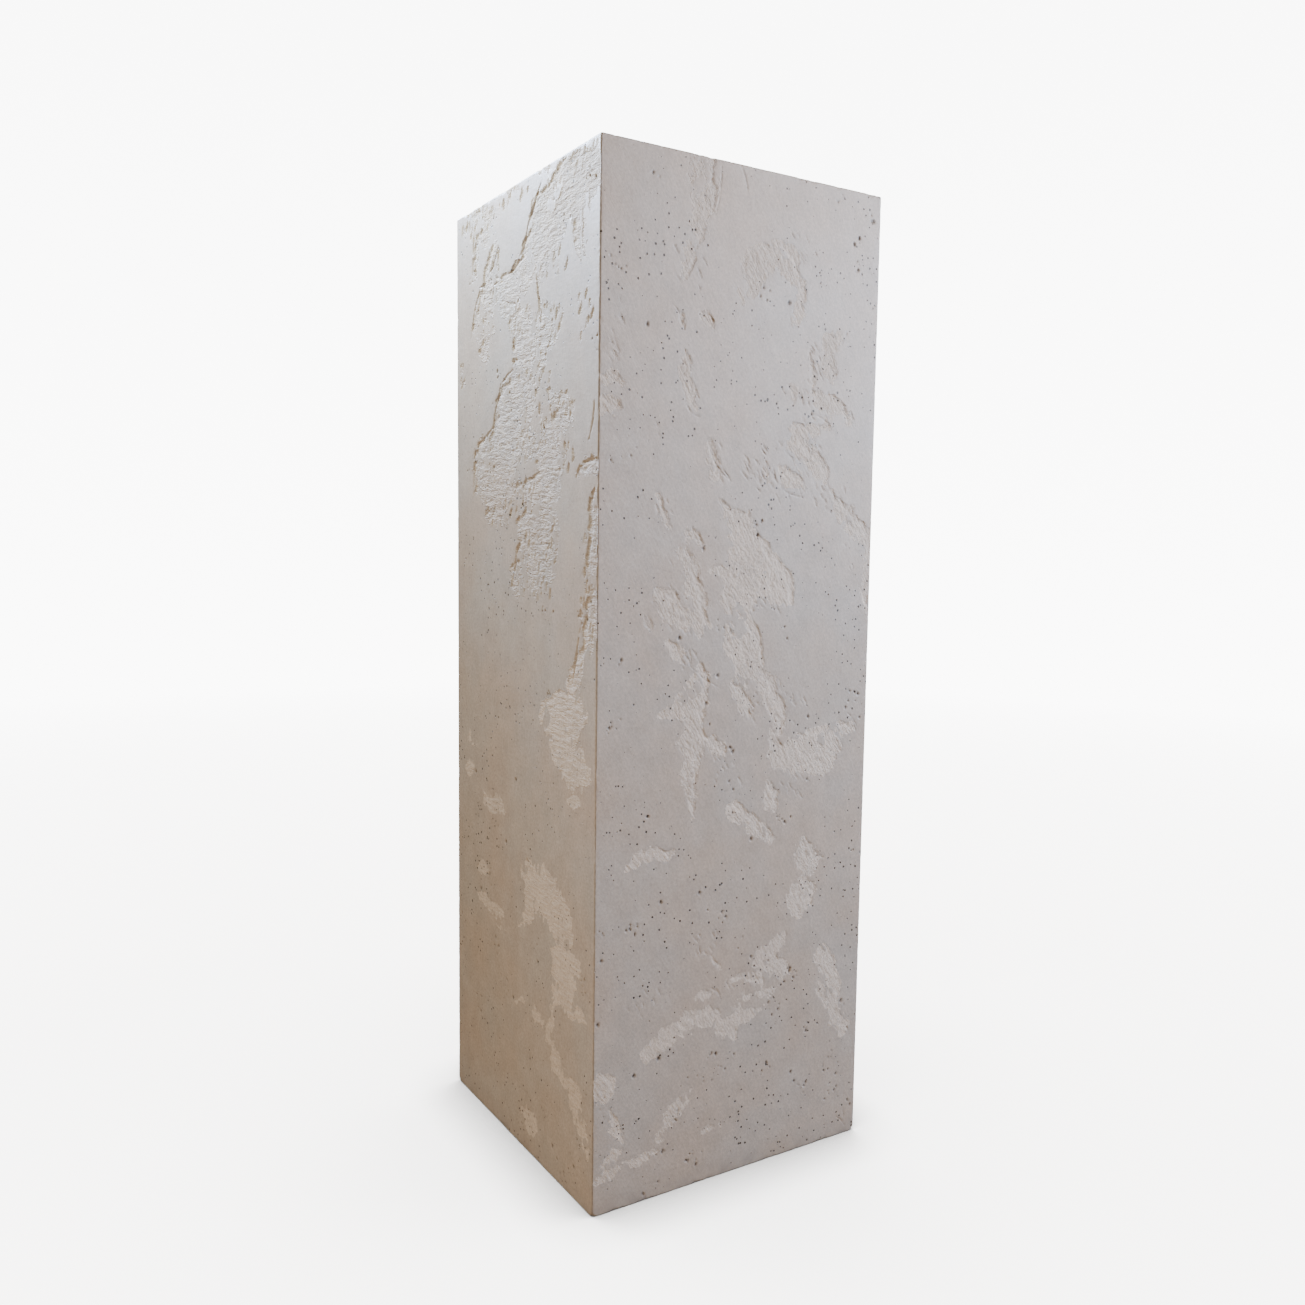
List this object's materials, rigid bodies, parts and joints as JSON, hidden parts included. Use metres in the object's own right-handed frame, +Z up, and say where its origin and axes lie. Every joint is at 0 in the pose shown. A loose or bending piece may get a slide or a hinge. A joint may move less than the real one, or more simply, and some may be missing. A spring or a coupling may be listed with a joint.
{
  "type": "column base block",
  "caption": "Tall square block with a flat top, a free-standing base for a column, urn or figure, in trowelled concrete with shallow rough patches.",
  "frame": {"origin": "middle of the underside", "axes": "+Z up, front face looking along -Y, left face looking along -X"},
  "size_m": [0.33, 0.33, 1],
  "materials": {
    "concrete": "pale grey lime concrete, trowelled to a matt burnished skin with open pores and rough lighter patches where the trowel skipped"
  },
  "bodies": {
    "root": {"column_base_block": "concrete"}
  },
  "joints": []
}
